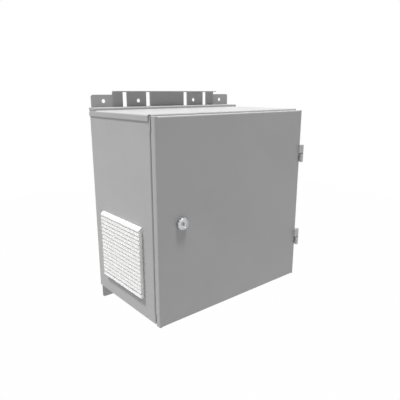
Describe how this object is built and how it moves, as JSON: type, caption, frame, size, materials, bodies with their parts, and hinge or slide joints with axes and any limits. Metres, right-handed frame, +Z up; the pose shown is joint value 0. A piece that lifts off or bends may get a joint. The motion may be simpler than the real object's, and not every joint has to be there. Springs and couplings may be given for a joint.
{
  "type": "wall-mounted telecom cabinet",
  "caption": "Grey folded-steel wall cabinet for rack equipment, with a hinged door, a latch knob, a side filter fan and slotted brackets above and below for wall or pole.",
  "frame": {"origin": "middle of the wall bolt holes, on the wall plane at the rear of the brackets", "axes": "+X to the right as seen from the front, +Y towards the wall, +Z up"},
  "size_m": [0.682, 0.4193, 0.789],
  "materials": {
    "grey_paint": "satin",
    "zinc": "satin",
    "white_plastic": "satin",
    "dark_plastic": "matte",
    "fleece": "matte",
    "foam": "matte"
  },
  "bodies": {
    "cabinet": {"body_wrap": "grey_paint", "left_front_upright": "grey_paint", "right_front_upright": "grey_paint", "back_panel": "grey_paint", "roof_cap": "grey_paint", "rear_roof_rail": "grey_paint", "upper_bracket": "grey_paint", "lower_bracket": "grey_paint", "bracket_screws": "zinc", "bracket_nuts": "zinc", "left_rack_rail": "zinc", "right_rack_rail": "zinc", "rail_brackets": "grey_paint", "rail_screws": "zinc", "gland_plate": "grey_paint", "gland_plate_screws": "zinc", "earth_stud": "zinc", "earth_nut": "zinc", "filter_grille": "white_plastic", "filter_housing": "dark_plastic", "filter_mat": "fleece", "fan_frame": "dark_plastic", "fan_motor": "zinc", "fan_guard": "zinc", "fan_screws": "zinc", "upper_hinge_fixed_half": "zinc", "lower_hinge_fixed_half": "zinc", "upper_hinge_pin": "zinc", "lower_hinge_pin": "zinc", "hinge_washers": "dark_plastic", "hinge_leaf_screws": "zinc"},
    "door": {"upper_hinge_moving_half": "zinc", "lower_hinge_moving_half": "zinc", "hinge_pad_screws": "zinc", "door_pan": "grey_paint", "door_stiffeners": "grey_paint", "door_gasket": "foam", "latch_housing": "zinc", "latch_nut": "zinc"},
    "latch": {"latch_knob": "zinc", "lock_core": "dark_plastic", "latch_cam": "zinc", "cam_screw": "zinc"},
    "rotor": {"fan_rotor": "dark_plastic"}
  },
  "joints": [
    {"name": "door_hinge", "type": "hinge", "parent": "cabinet", "child": "door", "pos_m": [0.332, -0.411, 0], "axis": [0, 0, 1], "range_deg": [0, 120]},
    {"name": "latch_turn", "type": "hinge", "parent": "door", "child": "latch", "pos_m": [-0.244, -0.405, 0], "axis": [0, 1, 0], "range_deg": [0, 90]},
    {"name": "fan_spin", "type": "hinge", "parent": "cabinet", "child": "rotor", "pos_m": [-0.287, -0.189, -0.14], "axis": [1, 0, 0], "continuous": true}
  ]
}
